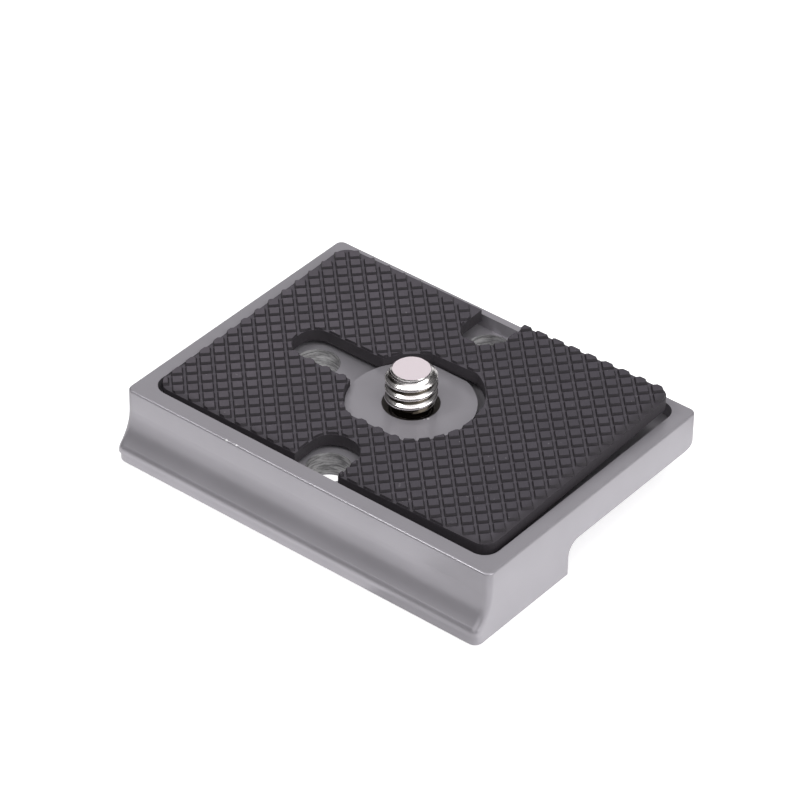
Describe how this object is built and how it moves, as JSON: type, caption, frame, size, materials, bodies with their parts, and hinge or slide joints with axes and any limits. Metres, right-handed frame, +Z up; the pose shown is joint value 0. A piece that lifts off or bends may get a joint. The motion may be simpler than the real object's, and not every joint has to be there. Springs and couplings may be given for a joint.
{
  "type": "tripod quick release plate",
  "caption": "Cast camera plate with a hooked clamp edge, lifted grip pad, captive threaded screw and folding ring.",
  "frame": {"origin": "bottom centre of the plate, on its base plane; the screw's axis is 1 mm from it towards +Y", "axes": "+X along the long side, away from the slot in the pad; +Y from the flared near side to the flange; +Z up to the camera"},
  "size_m": [0.052, 0.04, 0.0134],
  "materials": {
    "plate_paint": "satin",
    "pad_rubber": "matte",
    "plated_steel": "bright"
  },
  "bodies": {
    "plate": {"plate_body": "plate_paint", "grip_pad": "pad_rubber"},
    "screw": {"camera_screw": "plated_steel"},
    "ring": {"d_ring": "plated_steel"}
  },
  "joints": [
    {"name": "screw_spin", "type": "hinge", "parent": "plate", "child": "screw", "pos_m": [0, 0.001, 0.006], "axis": [0, 0, 1], "continuous": true},
    {"name": "ring_fold", "type": "hinge", "parent": "screw", "child": "ring", "pos_m": [0, 0.001, 0.00145], "axis": [0, 1, 0], "range_deg": [0, 180]}
  ]
}
